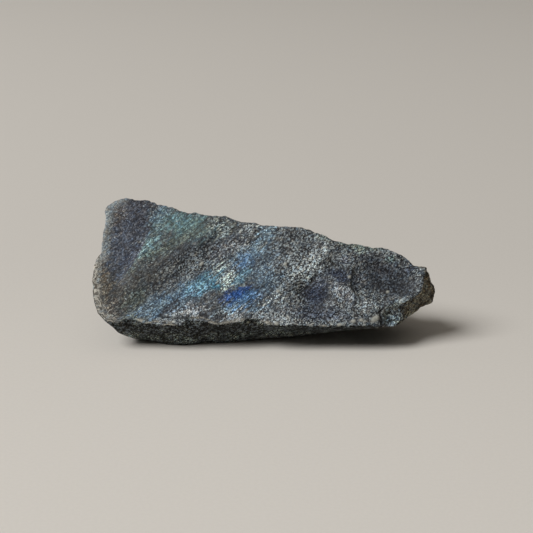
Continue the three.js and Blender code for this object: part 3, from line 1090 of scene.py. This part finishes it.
def broken_colour(n, at, grains, flaky):
    """The broken sides: dark, with paler edges, flaky at the left end, brown at the right, with
    painted shade and painted light on the undercut and the right end.
    """
    patchy = n.spread(n.noise(at.solid, 7.0, 4.0), 0.35, 0.7)
    small_patches = n.spread(n.noise(at.solid, 2.5, 3.0), 0.4, 0.62)
    near_face = n.spread(at.out, -9.0, -3.0, 0.25, 1.0)
    left = n.maths("MULTIPLY", n.spread(at.x, *LEFT_END_X), near_face)
    right = n.spread(at.x, *RIGHT_END_X)
    right_end = n.mix(small_patches, linear(RIGHT_END_DARK), linear(RIGHT_END_LIGHT))
    under = n.mix(small_patches, linear(UNDERCUT_DARK), linear(UNDERCUT_LIGHT))
    colour = n.mix(patchy, linear(BROKEN_DARK), linear(BROKEN_MIDDLE))
    colour = n.mix(left, colour, flaky)
    colour = n.mix(right, colour, right_end)
    colour = n.mix(at.undercut, colour, under)
    edge = n.maths("MULTIPLY", n.attribute("edge"), 0.4)
    colour = n.mix(edge, colour, linear(BROKEN_LIGHT))

    contrast = n.spread(at.x, *RIGHT_TIP_X, *BROKEN_CONTRAST)
    contrast = n.maths("MULTIPLY_ADD", at.undercut, UNDERCUT_CONTRAST, contrast)
    # The grains' brightness, with the broken sides' painted shade and painted light added
    light = n.maths("MULTIPLY_ADD", grains.light, contrast, broken_painted_light_and_shade(n, at, right))
    colour = lit(n, colour, light, grains.warmth)

    coarse = n.noise(at.solid, 0.9, 1.5)
    flecks = n.maths("MULTIPLY_ADD", coarse, 1.2, n.maths("MULTIPLY", grains.numbers[1], 0.4))
    flecks = n.spread(flecks, 0.88, 1.05, 0.0, n.spread(at.x, *RIGHT_TIP_X, 0.75, 0.3))
    colour = n.mix(flecks, colour, linear(BROKEN_FLECK))
    # Painted glints on the broken sides too
    return n.mix(n.maths("MULTIPLY", grains.glint, 0.3), colour, linear(PALE_GRAIN))


def labradorite():
    material = bpy.data.materials.new("labradorite")
    n = Nodes(material)
    at = Place(n)
    grains = Grains(n, at)

    flaky, flaky_share = rim_flakes(n, at)
    face = n.mix(flaky_share, ground_colour(n, at, grains), flaky)
    crusty = n.spread(grains.fine, 0.35, 0.6)
    crust = n.mix(crusty, linear(LIP_CRUST_DARK), linear(LIP_CRUST))
    face = n.mix(n.maths("MULTIPLY", n.attribute("crust"), 0.95), face, crust)
    ground = n.spread(n.attribute("ground"), 0.3, 0.7)
    colour = n.mix(ground, broken_colour(n, at, grains, flaky), face)
    # Painted shade in the cracks, and painted shade and dirt in small hollows, darken the
    # colour
    hollow_dirt_and_shade = n.maths("MULTIPLY", n.attribute("hollow_dirt_and_shade"), 0.5)
    dark = n.maths("MAXIMUM", hollow_dirt_and_shade, n.attribute("crack"))
    dark = n.maths("MULTIPLY", dark, 0.8, clamp=True)
    colour = n.mix(dark, colour, linear(CRACK_SHADE_COLOUR))

    height = n.maths("MULTIPLY_ADD", grains.numbers[0], 0.6, grains.fine)
    bump = n.add("Bump", {"Strength": 0.7, "Distance": 0.12 * MM, "Height": height})
    unground = n.maths("MULTIPLY_ADD", grains.fine, 0.3, 0.65)
    roughness = n.maths("MULTIPLY_ADD", ground, -0.25, unground)
    look = {"Base Color": colour, "Roughness": roughness, "Normal": bump.outputs[0]}
    shader = n.add("BsdfPrincipled", look)
    shader.inputs["Specular IOR Level"].default_value = 0.25
    n.add("OutputMaterial", {"Surface": shader.outputs[0]})
    return material


# ---- The studio: floor, light and camera ----

# Metres and watts, unless a comment says otherwise
FLOOR_SIZE = 12.0
FLOOR_DROP = 0.02 * MM  # below the stone's foot, so that the two don't share a plane
FLOOR_LIGHT = (0.642, 0.621, 0.588, 1.0)
FLOOR_DARK = (0.629, 0.608, 0.575, 1.0)
FIBRE_SIZE = 0.9  # mm
# Painted light: the floor's colour is made lighter towards the camera
FLOOR_NEAR_PAINTED_LIGHT = 1.1  # how much lighter the floor is near the camera
FLOOR_PAINTED_LIGHT_Y = (80.0, -120.0)  # mm, where that begins and is full
SKY_COLOUR = (1.0, 0.92, 0.82, 1.0)
SKY_STRENGTH = 0.295  # overhead
SKY_FADE = (0.45, 0.85)  # between these heights on a sphere of radius 1
HORIZON_STRENGTH = 0.17  # a dim pale band along the horizon, behind the floor
HORIZON_FADE = (0.14, 0.06)
KEY_RISE = math.radians(47)
KEY_TURN = math.radians(199)  # from +X, so from the left and a little from the front
KEY_DISTANCE = 2.8
KEY_SIZE = 1.6
KEY_POWER = 74.0
KEY_COLOUR = (1.0, 0.985, 0.96)
FRONT_PLACE = (0.3, -2.2, 1.2)
FRONT_SIZE = 1.0
FRONT_POWER = 0.35
FRONT_COLOUR = (1.0, 0.99, 0.97)


def make_floor():
    mesh = bpy.data.meshes.new("floor")
    half = FLOOR_SIZE / 2
    corners = [(-half, -half, 0), (half, -half, 0), (half, half, 0), (-half, half, 0)]
    mesh.from_pydata(corners, [], [(0, 1, 2, 3)])
    floor = bpy.data.objects.new("floor", mesh)
    floor.location.z = -FLOOR_DROP
    bpy.context.scene.collection.objects.link(floor)
    material = bpy.data.materials.new("floor")
    n = Nodes(material)
    place = n.vector("MULTIPLY", n.add("TexCoord").outputs["Object"], (1 / MM,) * 3)
    fibre = n.noise(place, FIBRE_SIZE, 3.0)
    tint = n.mix(n.spread(fibre, 0.3, 0.7), FLOOR_DARK, FLOOR_LIGHT)
    # Painted light on the floor near the camera
    near = n.spread(n.add("SeparateXYZ", {0: place}).outputs[1], *FLOOR_PAINTED_LIGHT_Y)
    lighter = n.mix(1.0, tint, (*(FLOOR_NEAR_PAINTED_LIGHT,) * 3, 1.0), "MULTIPLY")
    tint = n.mix(near, tint, lighter)
    shader = n.add("BsdfPrincipled", {"Base Color": tint, "Roughness": 0.9})
    shader.inputs["Specular IOR Level"].default_value = 0.2
    n.add("OutputMaterial", {"Surface": shader.outputs[0]})
    mesh.materials.append(material)


def make_light(name, place, size, power, colour):
    """A round soft light that looks at the stone."""
    light = bpy.data.lights.new(name, "AREA")
    light.shape = "DISK"
    light.size = size
    light.energy = power
    light.color = colour
    lamp = bpy.data.objects.new(name, light)
    lamp.location = place
    lamp.rotation_euler = (-Vector(place)).to_track_quat("-Z", "Y").to_euler()
    bpy.context.scene.collection.objects.link(lamp)


def make_sky():
    world = bpy.data.worlds.new("studio")
    bpy.context.scene.world = world
    n = Nodes(world)
    direction = n.add("TexCoord").outputs["Generated"]
    height = n.add("SeparateXYZ", {0: direction}).outputs[2]
    overhead = n.spread(height, *SKY_FADE, 0.0, SKY_STRENGTH)
    horizon = n.spread(height, *HORIZON_FADE, 0.0, HORIZON_STRENGTH)
    strength = n.maths("ADD", overhead, horizon)
    sky = n.add("Background", {"Color": SKY_COLOUR, "Strength": strength})
    n.add("OutputWorld", {"Surface": sky.outputs[0]})


def make_lights():
    towards = Vector((math.cos(KEY_TURN), math.sin(KEY_TURN), math.tan(KEY_RISE))).normalized()
    make_light("key", towards * KEY_DISTANCE, KEY_SIZE, KEY_POWER, KEY_COLOUR)
    make_light("front", FRONT_PLACE, FRONT_SIZE, FRONT_POWER, FRONT_COLOUR)


bpy.context.scene.view_settings.view_transform = "Standard"
make_stone()
make_floor()
make_sky()
make_lights()
make_camera()
